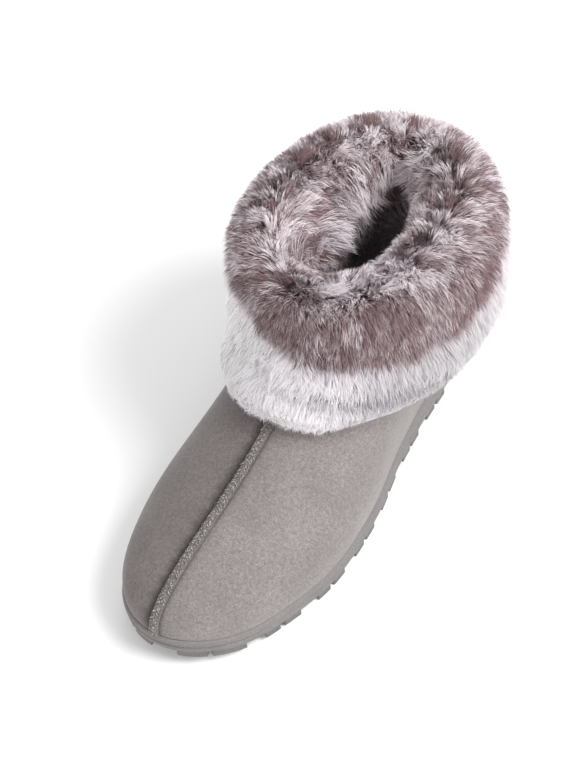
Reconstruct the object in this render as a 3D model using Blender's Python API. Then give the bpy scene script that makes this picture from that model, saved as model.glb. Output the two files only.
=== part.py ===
"""Bootie slipper for the left foot: moulded outsole, insole, suede upper, raised centre seam and fur cuff.

Metres, +Z up. The toe points along -Y and the little toe's side of the foot is +X.
The origin is on the floor, under the middle of the slipper's bounding box.
"""

import math

import bmesh
import bpy
import numpy as np

# Sole
SOLE_LENGTH = 0.256
BALL_WIDTH = 0.103
TOE_SWING = 0.006
HEEL_SWING = 0.004
BALL_STATION = 0.34
HEEL_SEAT_STATION = 0.80
FOREFOOT_THICKNESS = 0.0135
HEEL_THICKNESS = 0.0190
TOE_SPRING = 0.009
TOE_SPRING_STATION = 0.26
HEEL_BEVEL = 0.0015
HEEL_BEVEL_STATION = 0.94
ARCH_RISE = 0.0016
ARCH_STATIONS = (0.46, 0.72)
SIDE_RELIEF = 0.0016

# Tread
LUG_DEPTH = 0.0040
LUG_ROOT = 0.0012
LUG_INSET = 0.0009
LUG_BAND = 0.0125
LUG_SLANT = 0.0030
LUG_NOTCH = 0.0030
LUG_NOTCH_DEPTH = 0.0036
RIB_WIDTH = 0.0098
RIB_PITCH = 0.0140
RIB_MARGIN = 0.0028
RIB_SEGMENT = 0.0075

# Upper
FEATHER_INSET = 0.0014
WALL = 0.0026
CLEARANCE = 0.0003
COLLAR_LENGTH = 0.106
COLLAR_WIDTH = 0.080
COLLAR_HEIGHT = 0.122
COLLAR_SHIFT = 0.0070
COLLAR_CROWDING = 0.55
COLLAR_FRONT_RISE = 0.004
HEEL_LEAN = 0.010

# Insole
INSOLE_THICKNESS = 0.0045
INSOLE_ROUND = 0.0012

# Centre seam
SEAM_WIDTH = 0.0054
SEAM_HEIGHT = 0.0024

# Fur cuff
CUFF_DROP = 0.066
CUFF_LINING_DROP = 0.042
FUR_DEPTH = 0.026
FOLD_GROOVE = 0.005
LOW_DROP = 0.8
HEM_LIFT = 0.06
LOCK_RELIEF = 0.0036
LOCK_SWEEP = 0.0034

# Fineness of the faceted surfaces
ROUND_POINTS = 56
VAMP_RINGS = 10
VAMP_RING_GROWTH = 0.3
SHAFT_RINGS = 4


def table(names, *rows):
    """A short table, as its named columns."""
    return dict(zip(names.split(), np.array(rows, float).T))


# Half widths of the sole as shares of the ball width, over the sine of the angle round the outline
OUTLINE = table(
    "station medial lateral",
    (0.00, 0.64, 0.60),
    (0.06, 0.63, 0.58),
    (0.16, 0.59, 0.53),
    (0.30, 0.53, 0.52),
    (0.45, 0.44, 0.48),
    (0.60, 0.37, 0.42),
    (0.75, 0.40, 0.43),
    (0.88, 0.54, 0.54),
    (1.00, 0.66, 0.66),
)

# Side of the sole: height as a share of its band above the lugs, and outset as a share of its relief
SIDE_STEPS = table(
    "height outset",
    (0.00, -1.000),
    (0.10, -0.250),
    (0.42, 0.000),
    (0.50, -0.625),
    (0.58, -0.625),
    (0.66, 0.125),
    (0.92, -0.125),
    (1.00, -0.750),
)

# Curves from the sole's edge to the collar, from toe to heel: shares of the collar's height, the ball width
# and the collar's height twice
MERIDIANS = table(
    "round rise bulge leg lean",
    (0.00, 0.34, 0.035, 0.66, 0.10),
    (0.25, 0.30, 0.065, 0.60, 0.08),
    (0.45, 0.27, 0.055, 0.52, 0.04),
    (0.70, 0.27, 0.030, 0.42, 0.00),
    (1.00, 0.30, 0.040, 0.36, -0.04),
)

# The fur on either side, from front to back: its depth on the roll as a share, what it has of that inside the
# shaft and low on the outer leg, and how far its hem reaches as a share of the cuff's drop
LATERAL_FUR = table(
    "round depth inside low hem",
    (0.00, 1.04, 0.32, 1.00, 1.00),
    (0.25, 1.12, 0.36, 1.00, 0.98),
    (0.45, 1.14, 0.50, 1.12, 0.87),
    (0.70, 1.04, 0.92, 1.26, 0.86),
    (1.00, 0.80, 1.10, 1.00, 0.95),
)
MEDIAL_FUR = table(
    "round depth inside low hem",
    (0.00, 1.04, 0.32, 1.00, 1.00),
    (0.25, 0.90, 0.62, 0.84, 1.00),
    (0.45, 0.82, 1.50, 0.80, 1.00),
    (0.70, 0.70, 1.60, 0.90, 1.00),
    (1.00, 0.80, 1.10, 1.00, 0.95),
)

# Blocks round the tread's edge: which side of the outline, and the stations where each starts and ends
EDGE_LUGS = table(
    "side start end",
    (1, 0.006, 0.091),
    (1, 0.127, 0.208),
    (1, 0.250, 0.330),
    (1, 0.370, 0.450),
    (1, 0.490, 0.570),
    (1, 0.610, 0.690),
    (1, 0.730, 0.810),
    (1, 0.850, 0.925),
    (1, 0.965, 0.999),
    (-1, 0.001, 0.061),
    (-1, 0.097, 0.180),
    (-1, 0.222, 0.304),
    (-1, 0.346, 0.426),
    (-1, 0.468, 0.548),
    (-1, 0.590, 0.670),
    (-1, 0.712, 0.792),
    (-1, 0.834, 0.912),
    (-1, 0.956, 0.994),
)

# Nests of curved ribs: their centre as shares of the sole's length and the ball width,
# the inner radius of the first rib and the reach of the nest in rib pitches
SWIRLS = table(
    "station across first reach",
    (0.200, -0.16, 0.35, 3.2),
    (0.450, 0.12, 0.35, 3.2),
    (0.860, 0.16, 0.30, 1.2),
    (0.640, -0.42, 2.20, 8.0),
)

# Raised seam's section: shares of its half width and of its height
SEAM_SECTION = table(
    "across height",
    (-1.00, 0.00),
    (-0.85, 0.62),
    (-0.40, 0.96),
    (0.40, 0.96),
    (0.85, 0.62),
    (1.00, 0.00),
)

# Cuff's outer leg from the collar down to its hem: share of the drop, depth of fur as a share, fold's groove
CUFF_OUTER = table(
    "drop depth groove",
    (0.20, 1.06, 0.0),
    (0.40, 1.01, 0.0),
    (0.58, 0.94, 0.2),
    (0.72, 0.86, 1.0),
    (0.84, 0.78, 0.3),
    (0.95, 0.58, 0.0),
    (1.00, 0.30, 0.0),
)

# Roll over the collar: angle in degrees from inwards, over the top, to outwards
CUFF_ROLL = table(
    "angle depth",
    (180, 0.68),
    (144, 0.78),
    (108, 0.92),
    (72, 1.03),
    (36, 1.08),
    (0, 1.08),
)

# Cuff's inner leg, from its end inside the shaft up to the collar
CUFF_INNER = table(
    "drop depth",
    (1.00, 0.16),
    (0.92, 0.36),
    (0.70, 0.48),
    (0.40, 0.57),
    (0.15, 0.64),
)


def along(columns, name, at, key="station"):
    """Value of a table's column on a smooth curve through its rows."""
    rows, values = columns[key], columns[name]
    slopes = np.gradient(values, rows)
    index = np.clip(np.searchsorted(rows, at, side="right") - 1, 0, len(rows) - 2)
    span = rows[index + 1] - rows[index]
    u = (at - rows[index]) / span
    return (
        values[index] * (1 + 2 * u) * (1 - u) ** 2
        + slopes[index] * span * u * (1 - u) ** 2
        + values[index + 1] * u**2 * (3 - 2 * u)
        + slopes[index + 1] * span * u**2 * (u - 1)
    )


def unit(vectors):
    return vectors / np.linalg.norm(vectors, axis=-1, keepdims=True)


def smooth_step(value):
    value = np.clip(value, 0, 1)
    return value * value * (3 - 2 * value)


def station_at(turn):
    """Share of the sole's length behind the toe: turn is 0 at the toe, pi at the heel and 2 pi at the toe again."""
    return (1 - np.cos(turn)) / 2


def turn_at(station, side):
    turn = np.arccos(1 - 2 * np.asarray(station))
    return turn if side > 0 else 2 * math.pi - turn


def axis_x(station):
    """The foot's middle line, which swings to the inner side at the toe and to the outer side at the heel."""
    toe = np.clip(1 - station / BALL_STATION, 0, 1) ** 2
    heel = smooth_step((station - BALL_STATION) / (HEEL_SEAT_STATION - BALL_STATION))
    return HEEL_SWING * heel - TOE_SWING * toe


def outline(turn):
    station, across = station_at(turn), np.sin(turn)
    fullness = np.where(
        across > 0,
        along(OUTLINE, "lateral", station),
        along(OUTLINE, "medial", station),
    )
    x = axis_x(station) + BALL_WIDTH * fullness * across
    return np.stack([x, SOLE_LENGTH * (station - 0.5)], -1)


def sole_edge(turn, outset=0.0):
    """Plan points of the sole's outline, moved outwards by outset."""
    step = 1e-4
    tangent = unit(outline(turn + step) - outline(turn - step))
    outward = np.stack([tangent[..., 1], -tangent[..., 0]], -1)
    return outline(turn) + np.asarray(outset)[..., None] * outward, outward


def toe_rise(station):
    return TOE_SPRING * np.clip(1 - station / TOE_SPRING_STATION, 0, 1) ** 2


def tread_z(station):
    """Height of the lugs' feet: level but for the toe's spring, the arch and the heel's bevel."""
    heel = np.clip((station - HEEL_BEVEL_STATION) / (1 - HEEL_BEVEL_STATION), 0, 1)
    first, last = ARCH_STATIONS
    arch = np.sin(math.pi * np.clip((station - first) / (last - first), 0, 1)) ** 2
    return toe_rise(station) + HEEL_BEVEL * heel**2 + ARCH_RISE * arch


def base_z(station):
    return tread_z(station) + LUG_DEPTH


def sole_top_z(station):
    wedge = smooth_step((station - BALL_STATION) / (HEEL_SEAT_STATION - BALL_STATION))
    return toe_rise(station) + FOREFOOT_THICKNESS + (HEEL_THICKNESS - FOREFOOT_THICKNESS) * wedge


def ring_turns(count=ROUND_POINTS):
    return 2 * math.pi * np.arange(count) / count


def lofted(rings, closed_loop=False):
    """Vertices and faces of the skin through rings of equally many points."""
    count = len(rings[0])
    points = np.concatenate(rings)
    pairs = list(range(len(rings) - 1))
    faces = []
    for low in pairs + ([len(rings) - 1] if closed_loop else []):
        high = (low + 1) % len(rings)
        for i in range(count):
            j = (i + 1) % count
            faces.append((low * count + i, low * count + j, high * count + j, high * count + i))
    return points, faces


def ladder_cap(first, count, flip):
    """Faces across a ring whose points i and count - i lie opposite each other."""
    faces = []
    for i in range(count // 2):
        corners = [first + i, first + i + 1, first + (count - i - 1) % count, first + (count - i) % count]
        corners = list(dict.fromkeys(corners))
        faces.append(tuple(reversed(corners)) if flip else tuple(corners))
    return faces


def new_object(name, points, faces, material, smooth_angle=None):
    mesh = bpy.data.meshes.new(name)
    mesh.from_pydata([tuple(map(float, p)) for p in points], [], faces)
    shape = bmesh.new()
    shape.from_mesh(mesh)
    bmesh.ops.triangulate(shape, faces=shape.faces[:])
    bmesh.ops.recalc_face_normals(shape, faces=shape.faces[:])
    shape.to_mesh(mesh)
    shape.free()
    if smooth_angle:
        mesh.shade_smooth()
        mesh.set_sharp_from_angle(angle=math.radians(smooth_angle))
    obj = bpy.data.objects.new(name, mesh)
    bpy.context.scene.collection.objects.link(obj)
    if material:
        mesh.materials.append(material)
    return obj


def finish(name, colour, roughness):
    """A Principled material, with its colour as red, green, blue."""
    made = bpy.data.materials.new(name)
    made.use_nodes = True
    shader = made.node_tree.nodes["Principled BSDF"]
    shader.inputs["Base Color"].default_value = (*colour, 1.0)
    shader.inputs["Roughness"].default_value = roughness
    shader.inputs["Metallic"].default_value = 0.0
    return made


def sole_ring(turns, outset, height):
    plan, _ = sole_edge(turns, np.full(len(turns), outset))
    return np.column_stack([plan, height])


def depth_inside(points):
    """How far points of the plan lie inside the sole's outline."""
    edge = outline(ring_turns(4 * ROUND_POINTS))
    away = np.linalg.norm(points[:, None] - edge[None], axis=-1)
    nearest = away.argmin(1)
    ahead = np.roll(edge, -1, axis=0)[nearest] - np.roll(edge, 1, axis=0)[nearest]
    to_edge = edge[nearest] - points
    inside = to_edge[:, 0] * ahead[:, 1] - to_edge[:, 1] * ahead[:, 0] > 0
    return np.where(inside, away.min(1), -away.min(1))


def plan_prism(left, right, closed_loop=False):
    """A lug or rib from the foot of the tread to its root in the base, between two lines of plan points."""
    rings = []
    for a, b in zip(left, right):
        station = np.array([a[1], b[1]]) / SOLE_LENGTH + 0.5
        foot, root = tread_z(station), base_z(station) + LUG_ROOT
        rings.append(
            [(*a, foot[0]), (*b, foot[1]), (*b, root[1]), (*a, root[0])],
        )
    points, faces = lofted([np.array(ring) for ring in rings], closed_loop)
    if not closed_loop:
        last = len(points) - 4
        faces += [(3, 2, 1, 0), (last, last + 1, last + 2, last + 3)]
    return points, faces


def edge_lug(side, start, end):
    """A block that follows the edge, notched at the middle of its outer face and slanted at its ends."""
    first, last = turn_at(start, side), turn_at(end, side)
    turns = np.linspace(first, last, 7)
    onwards = np.sign(last - first)
    turn_per_metre = onwards * 2e-4 / np.linalg.norm(outline(turns[3] + 1e-4) - outline(turns[3] - 1e-4))
    turns[2:5] = turns[3] + turn_per_metre * LUG_NOTCH * np.array([-0.5, 0, 0.5])
    inset = np.full(7, LUG_INSET)
    inset[3] += LUG_NOTCH_DEPTH
    outer, _ = sole_edge(turns, -inset)
    slant = LUG_SLANT * turn_per_metre
    inner, _ = sole_edge(np.linspace(first + slant, last - slant, 7), np.full(7, -LUG_BAND))
    return plan_prism(outer, inner)


def swirl_ribs():
    """Ribs of each nest, kept inside the edge blocks and out of the nests before it."""
    taken = []
    for station, across, first, reach in zip(*(SWIRLS[name] for name in SWIRLS)):
        centre = np.array([across * BALL_WIDTH, SOLE_LENGTH * (station - 0.5)])
        for start in np.arange(first, reach - RIB_WIDTH / RIB_PITCH, 1.0):
            inner, outer = start * RIB_PITCH, start * RIB_PITCH + RIB_WIDTH
            count = max(12, round(2 * math.pi * outer / RIB_SEGMENT))
            angles = 2 * math.pi * np.arange(count) / count
            round_way = np.column_stack([np.cos(angles), np.sin(angles)])
            near, far = centre + inner * round_way, centre + outer * round_way
            keep = np.ones(count, bool)
            for line in (near, far):
                keep &= depth_inside(line) > LUG_BAND + RIB_MARGIN
                for other, radius in taken:
                    keep &= np.linalg.norm(line - other, axis=1) > radius
            yield from rib_runs(near, far, keep)
        taken.append((centre, reach * RIB_PITCH))


def rib_runs(near, far, keep):
    """Each run of kept points round a rib, as a prism; a rib that is kept all round closes on itself."""
    count = len(keep)
    if keep.all():
        yield plan_prism(near, far, closed_loop=True)
        return
    first = int(np.argmin(keep))
    run = []
    for step in range(1, count + 1):
        index = (first + step) % count
        if keep[index]:
            run.append(index)
            continue
        if len(run) > 2:
            yield plan_prism(near[run], far[run])
        run = []


def make_outsole(material):
    """The base with its stepped side, joined to the edge blocks and the ribs below it."""
    turns = ring_turns()
    station = station_at(turns)
    low, high = base_z(station), sole_top_z(station)
    rings = [
        sole_ring(turns, outset * SIDE_RELIEF, low + share * (high - low))
        for share, outset in zip(SIDE_STEPS["height"], SIDE_STEPS["outset"])
    ]
    points, faces = lofted(rings)
    count = len(turns)
    faces += ladder_cap(0, count, True)
    faces += ladder_cap((len(rings) - 1) * count, count, False)
    sole = new_object("outsole", points, faces, material, 35)

    solids = [edge_lug(*row) for row in zip(*(EDGE_LUGS[name] for name in EDGE_LUGS))]
    solids += list(swirl_ribs())
    points, faces, first = [], [], 0
    for solid_points, solid_faces in solids:
        points.extend(solid_points)
        faces.extend(tuple(first + i for i in face) for face in solid_faces)
        first += len(solid_points)
    tread = new_object("tread", points, faces, material)
    tread.hide_render = True
    tread.display_type = "WIRE"
    union = sole.modifiers.new("tread", "BOOLEAN")
    union.operation = "UNION"
    union.object = tread
    union.solver = "EXACT"
    return sole


def collar_point(turn):
    """The collar is an oval opening, a little higher at its front.

    Turn is that of the meridian that reaches it. Crowding draws the meridians together at its front.
    """
    angle = turn - COLLAR_CROWDING * np.sin(turn)
    back = SOLE_LENGTH / 2 - FEATHER_INSET - HEEL_LEAN
    y = back - COLLAR_LENGTH / 2 * (1 + np.cos(angle))
    x = COLLAR_SHIFT + COLLAR_WIDTH / 2 * np.sin(angle)
    z = COLLAR_HEIGHT + COLLAR_FRONT_RISE * (1 + np.cos(angle)) / 2
    return np.stack([x, y, z], -1)


def meridian_column(name, turn, columns=MERIDIANS):
    return along(columns, name, np.abs(1 - np.abs(1 - turn / math.pi)), "round")


def fur_column(name, turn):
    lateral, medial = (meridian_column(name, turn, columns) for columns in (LATERAL_FUR, MEDIAL_FUR))
    return np.where(np.sin(turn) > 0, lateral, medial)


def upper_point(turn, rise):
    """A point of the upper's outer face: rise is 0 at the sole's edge and 1 at the collar."""
    turn, rise = np.broadcast_arrays(np.asarray(turn, float), np.asarray(rise, float))
    plan, outward = sole_edge(turn, np.full(turn.shape, -FEATHER_INSET))
    foot = np.concatenate([plan, (sole_top_z(station_at(turn)) + CLEARANCE)[..., None]], -1)
    top = collar_point(turn)
    level_out = np.concatenate([outward, np.zeros(outward.shape[:-1] + (1,))], -1)
    up, back = np.array([0, 0, 1.0]), np.array([0, 1.0, 0])
    first = foot + up * (meridian_column("rise", turn) * COLLAR_HEIGHT)[..., None]
    first = first + level_out * (meridian_column("bulge", turn) * BALL_WIDTH)[..., None]
    second = top - up * (meridian_column("leg", turn) * COLLAR_HEIGHT)[..., None]
    second = second - back * (meridian_column("lean", turn) * COLLAR_HEIGHT)[..., None]
    u = rise[..., None]
    return foot * (1 - u) ** 3 + first * 3 * u * (1 - u) ** 2 + second * 3 * u**2 * (1 - u) + top * u**3


def upper_normal(turn, rise):
    step = 1e-4
    turn, rise = np.broadcast_arrays(np.asarray(turn, float), np.asarray(rise, float))
    round_way = upper_point(turn + step, rise) - upper_point(turn - step, rise)
    rise_way = upper_point(turn, rise + step) - upper_point(turn, rise - step)
    return unit(np.cross(round_way, rise_way))


def wall(turns, rise, offset=0.0):
    """Points of the upper's outer face, moved outwards by offset."""
    return upper_point(turns, rise) + np.asarray(offset)[..., None] * upper_normal(turns, rise)


def hem_rise(turns):
    """Rise of the cuff's hem on each meridian, measured down from the collar."""
    rises = np.linspace(1, 0, 81)
    paths = upper_point(turns[None, :], rises[:, None])
    lengths = np.cumsum(np.linalg.norm(np.diff(paths, axis=0), axis=-1), axis=0)
    lengths = np.vstack([np.zeros(len(turns)), lengths])
    drops = CUFF_DROP * fur_column("hem", turns)
    return np.array([np.interp(drop, line, rises) for drop, line in zip(drops, lengths.T)])


def shaft_rise(turns, share):
    """Rise at a share of the way from the cuff's hem to the collar."""
    hem = hem_rise(turns)
    return hem + (1 - hem) * share


def vamp_shares():
    """Shares of the way from the sole to the hem, closer together near the sole."""
    u = np.linspace(0, 1, VAMP_RINGS + 1)
    return u * (1 - VAMP_RING_GROWTH * (1 - u))


def make_upper(material):
    """One hollow wall, open at the collar and underneath."""
    turns = ring_turns()
    rises = [hem_rise(turns) * share for share in vamp_shares()[:-1]]
    rises += [shaft_rise(turns, share) for share in np.linspace(0, 1, SHAFT_RINGS + 1)]
    outer = [wall(turns, rise) for rise in rises]
    inner = [wall(turns, rise, -WALL) for rise in rises]
    inner[0][:, 2] = outer[0][:, 2]
    points, faces = lofted(outer + inner[::-1], closed_loop=True)
    return new_object("upper", points, faces, material, 60)


def make_centre_seam(material):
    """The raised seam down the middle of the vamp, from the cuff's hem to the sole."""
    front = np.zeros(1)
    rings = []
    for share in vamp_shares():
        rise = hem_rise(front) * share
        middle, out = wall(front, rise, CLEARANCE)[0], upper_normal(front, rise)[0]
        along_seam = unit(upper_point(front, rise + 1e-4) - upper_point(front, rise - 1e-4))[0]
        side = np.cross(along_seam, out)
        rings.append(
            middle
            + side * (SEAM_SECTION["across"] * SEAM_WIDTH / 2)[:, None]
            + out * (SEAM_SECTION["height"] * SEAM_HEIGHT)[:, None]
        )
    rings[0][:, 2] = wall(front, 0.0)[0, 2]
    points, faces = lofted(rings)
    count = len(rings[0])
    last = len(points) - count
    faces += [tuple(range(count))[::-1], tuple(range(last, last + count))]
    return new_object("centre_seam", points, faces, material, 50)


def fur_rows(turns):
    """Rows of the fur's surface, from the end of the lining over the roll to the hem."""
    depth = FUR_DEPTH * fur_column("depth", turns)
    inside, low = fur_column("inside", turns) - 1, fur_column("low", turns) - 1
    lateral = smooth_step(0.5 + np.sin(turns))
    lining = CUFF_LINING_DROP / CUFF_DROP
    rows = [
        wall(turns, shaft_rise(turns, 1 - drop * lining), -WALL - CLEARANCE - share * depth * (1 + inside))
        for drop, share in zip(CUFF_INNER["drop"], CUFF_INNER["depth"])
    ]
    middle = wall(turns, np.ones(len(turns)), -WALL / 2)
    out = upper_normal(turns, np.ones(len(turns)))
    up = np.array([0, 0, 1.0])
    for angle, share in zip(np.radians(CUFF_ROLL["angle"]), CUFF_ROLL["depth"]):
        inwards = (1 - math.cos(angle)) / 2
        reach = (WALL / 2 + CLEARANCE + share * depth * (1 + inwards * inside))[:, None]
        rows.append(middle + reach * (math.cos(angle) * out + math.sin(angle) * up))
    for drop, share, groove in zip(*(CUFF_OUTER[name] for name in CUFF_OUTER)):
        lower = smooth_step(drop / LOW_DROP)
        offset = CLEARANCE + share * depth * (1 + lower * low) - groove * FOLD_GROOVE * lateral
        rows.append(wall(turns, shaft_rise(turns, 1 - drop), offset))
    return np.array(rows)


def with_locks(rows):
    """Every second point pulled out into a lock, which leans away from the top of the roll."""
    crest = len(CUFF_INNER["drop"]) + len(CUFF_ROLL["angle"]) // 2
    downwards = unit(np.roll(rows, -1, axis=0) - np.roll(rows, 1, axis=0))
    round_way = np.roll(rows, -1, axis=1) - np.roll(rows, 1, axis=1)
    out = unit(np.cross(round_way, downwards))
    row, column = np.indices(rows.shape[:2])
    uneven = 0.75 + 0.25 * np.sin(2.3 * row + 1.7 * column)
    pull = np.where((row + column) % 2 == 0, uneven, 0.0)
    pull[0] = pull[-1] = 0
    lean = np.clip(row - crest + 0.5, -1, 1)
    return rows + LOCK_RELIEF * pull[..., None] * out + LOCK_SWEEP * (pull * lean)[..., None] * downwards


def make_fur_cuff(material):
    """The turned-down fur collar: a ring that sits over the shaft's top like a saddle."""
    turns = ring_turns()
    lining = 1 - CUFF_LINING_DROP / CUFF_DROP
    steps = np.linspace(0, 1, SHAFT_RINGS + 1)[1:-1]
    seat = [wall(turns, shaft_rise(turns, share), CLEARANCE) for share in (HEM_LIFT, *steps)]
    over = np.array([0, 0, CLEARANCE])
    top = np.ones(len(turns))
    seat.append(wall(turns, top, CLEARANCE) + over)
    seat.append(wall(turns, top, -WALL - CLEARANCE) + over)
    seat += [
        wall(turns, shaft_rise(turns, share), -WALL - CLEARANCE)
        for share in (*[step for step in steps[::-1] if step > lining], lining)
    ]
    rings = seat + list(with_locks(fur_rows(turns)))
    points, faces = lofted(rings, closed_loop=True)
    return new_object("fur_cuff", points, faces, material, 40)


def make_insole(material):
    turns = ring_turns()
    inset = FEATHER_INSET + WALL + 2 * CLEARANCE
    floor = sole_top_z(station_at(turns)) + CLEARANCE
    rings = [
        sole_ring(turns, -inset, floor),
        sole_ring(turns, -inset, floor + INSOLE_THICKNESS - INSOLE_ROUND),
        sole_ring(turns, -inset - INSOLE_ROUND, floor + INSOLE_THICKNESS),
    ]
    points, faces = lofted(rings)
    faces += ladder_cap(0, len(turns), True)
    faces += ladder_cap(2 * len(turns), len(turns), False)
    return new_object("insole", points, faces, material, 40)


def stand_on_origin(pieces):
    """Moves all pieces so that the origin is on the floor, under the middle of their box."""
    corners = np.array([vertex.co[:] for piece in pieces for vertex in piece.data.vertices])
    low, high = corners.min(0), corners.max(0)
    for piece in pieces:
        piece.location = (-(low[0] + high[0]) / 2, -(low[1] + high[1]) / 2, 0)


def main():
    for obj in list(bpy.data.objects):
        bpy.data.objects.remove(obj)
    suede = finish("suede", (0.36, 0.33, 0.31), 0.92)
    rubber = finish("rubber", (0.20, 0.19, 0.185), 0.62)
    fleece = finish("fleece", (0.55, 0.52, 0.52), 0.95)
    thread = finish("thread", (0.42, 0.38, 0.36), 0.85)
    fur = finish("fur", (0.62, 0.57, 0.59), 0.90)
    make_outsole(rubber)
    make_insole(fleece)
    make_upper(suede)
    make_centre_seam(thread)
    make_fur_cuff(fur)
    stand_on_origin(list(bpy.data.objects))


main()
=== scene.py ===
"""Looks of the bootie slipper: suede upper, stitched seam, rubber sole, fleece insole and frosted fur cuff.

Shapes follow the solids' own curves in the shoe's axes: the toe points along -Y, the little toe is at +X.
Lengths are in metres. Turns are radians round the shoe, from the toe over the lateral side.
"""

import math

import bpy
import numpy as np
from mathutils import Matrix, Vector
from mathutils.kdtree import KDTree


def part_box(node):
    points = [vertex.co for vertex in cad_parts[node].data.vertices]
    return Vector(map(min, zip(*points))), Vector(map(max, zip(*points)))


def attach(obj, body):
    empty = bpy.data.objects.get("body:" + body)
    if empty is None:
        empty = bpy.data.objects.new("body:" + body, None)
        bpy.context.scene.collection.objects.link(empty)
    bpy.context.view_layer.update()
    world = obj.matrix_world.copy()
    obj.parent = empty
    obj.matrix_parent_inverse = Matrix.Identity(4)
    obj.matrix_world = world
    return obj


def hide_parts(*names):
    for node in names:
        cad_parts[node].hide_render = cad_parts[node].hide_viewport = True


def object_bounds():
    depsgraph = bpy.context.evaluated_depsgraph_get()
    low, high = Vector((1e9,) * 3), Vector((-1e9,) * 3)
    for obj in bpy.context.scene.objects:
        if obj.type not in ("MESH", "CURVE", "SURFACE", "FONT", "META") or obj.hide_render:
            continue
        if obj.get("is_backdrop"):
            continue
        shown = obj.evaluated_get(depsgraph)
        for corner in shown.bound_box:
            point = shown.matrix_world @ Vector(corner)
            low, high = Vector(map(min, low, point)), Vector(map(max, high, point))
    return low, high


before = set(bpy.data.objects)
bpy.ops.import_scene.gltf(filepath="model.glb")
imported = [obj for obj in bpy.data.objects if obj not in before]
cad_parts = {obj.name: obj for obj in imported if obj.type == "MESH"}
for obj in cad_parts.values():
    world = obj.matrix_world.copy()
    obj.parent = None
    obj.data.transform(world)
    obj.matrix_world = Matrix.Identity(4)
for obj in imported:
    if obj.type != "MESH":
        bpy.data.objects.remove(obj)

CAD_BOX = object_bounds()

# Sole
SOLE_LENGTH = 0.256
BALL_WIDTH = 0.103
TOE_SWING = 0.006
HEEL_SWING = 0.004
BALL_STATION = 0.34
HEEL_SEAT_STATION = 0.80
FOREFOOT_THICKNESS = 0.0135
HEEL_THICKNESS = 0.0190
TOE_SPRING = 0.009
TOE_SPRING_STATION = 0.26
HEEL_BEVEL = 0.0015
HEEL_BEVEL_STATION = 0.94
ARCH_RISE = 0.0016
ARCH_STATIONS = (0.46, 0.72)
CORNER_CUT = 0.22

# Tread
LUG_DEPTH = 0.0040
LUG_ROOT = 0.0012
LUG_INSET = 0.0009
LUG_BAND = 0.0125
LUG_SLANT = 0.0030
LUG_NOTCH = 0.0030
LUG_NOTCH_DEPTH = 0.0036
LUG_POINTS = 13
LUG_ROUNDING = 0.0005
RIB_WIDTH = 0.0098
RIB_PITCH = 0.0140
RIB_MARGIN = 0.0028
RIB_SEGMENT = 0.0035

# Upper
FEATHER_INSET = 0.0014
WALL = 0.0026
CLEARANCE = 0.0003
COLLAR_LENGTH = 0.106
COLLAR_WIDTH = 0.080
COLLAR_HEIGHT = 0.122
COLLAR_SHIFT = 0.0070
COLLAR_CROWDING = 0.55
COLLAR_FRONT_RISE = 0.004
HEEL_LEAN = 0.010
VAMP_ROWS = 61
VAMP_CROWDING = 1.15
TOE_CROWDING = 0.225
RIPPLE_HEIGHT = 0.00035
RIPPLE_START = 0.06

# Suede's shades: a darker medial side, partly its nap and partly painted shade, and a painted shadow beside
# the seam
MEDIAL_NAP_AND_PAINTED_SHADE = (0.255, 0.285, 0.280)
MEDIAL_BLEND = 0.9
SHADOW_START = 0.0024
MEDIAL_SHADOW = 0.62
MEDIAL_SHADOW_WIDTH = 0.0064
LATERAL_SHADOW = 0.50
LATERAL_SHADOW_WIDTH = 0.0009

# Insole and seam
INSOLE_INSET = FEATHER_INSET + WALL + 2 * CLEARANCE
INSOLE_THICKNESS = 0.0045
INSOLE_ROUND = 0.0012
SEAM_WIDTH = 0.0046
SEAM_HEIGHT = 0.0024
RIDGE_SHARE = 0.86
RIDGE_OVERHANG = 0.0004
# The ridge's suede is evenly darker: painted shade that tones down its lit side
RIDGE_PAINTED_SHADE = 0.66

# Stitches: reach in pitches, start and slant in half widths of the seam, arch in thicknesses
STITCH_PITCH = 0.0016
STITCH_THICKNESS = 0.00072
STITCH_REACH = 1.35
STITCH_START = 0.94
STITCH_SLANT = 0.98
STITCH_ARCH = 0.30
STITCH_SINK = 0.0001
# How they stray: along and across the seam, as a share of their thickness, and in length
STITCH_STRAY = (0.00035, 0.00022, 0.108, 0.0003)

# Fur cuff
CUFF_DROP = 0.066
CUFF_LINING_DROP = 0.042
FUR_DEPTH = 0.026
FOLD_GROOVE = 0.0034
LOW_DROP = 0.8
SKIN_SHARE = 0.42
PELT_ROWS = 180
BACKING_BROWN = (0.150, 0.105, 0.108)
BACKING_PALE = (0.60, 0.57, 0.585)

# Coats of hair: name, hairs, height and width as shares, shade of the brown, segments of a hair, pieces
# The fill's brown is a tenth lighter: painted light that softens the shade between the hairs
COATS = (
    ("fur_guard_hair", 84000, 1.0, 1.0, 1.0, 3, 3),
    ("fur_fill", 124000, 0.88, 1.1, 1.1, 2, 2),
)
HAIR_WIDTH = 0.00028
HAIR_BROWN = (0.170, 0.098, 0.101)
HAIR_FROST = (0.74, 0.67, 0.705)
HAIR_WHITE = (0.93, 0.887, 0.915)
HEM_HAIR = (-0.0055, 0.0025)
HEM_STRAY = 0.001
TUFTS = 1100
LOCKS = 24000

# How hair lies: over the roll, more so on the lower band, out of the whorl, and apart at the back
HAIR_LEAN = 0.0085
LOW_LEAN = 0.0045
PARTING_BLEND = 0.017
PARTING_WIDTH = 0.012
PARTING_CROWDING = 2.0
WHORL_TURN = 0.0
WHORL_OVER = 0.018
WHORL_SIZE = 0.022
WHORL_HEART = 0.013
WHORL_CROWDING = 2.5
WHORL_LEAN = (0.011, 0.012)
BACK_LEAN = 0.007

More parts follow.
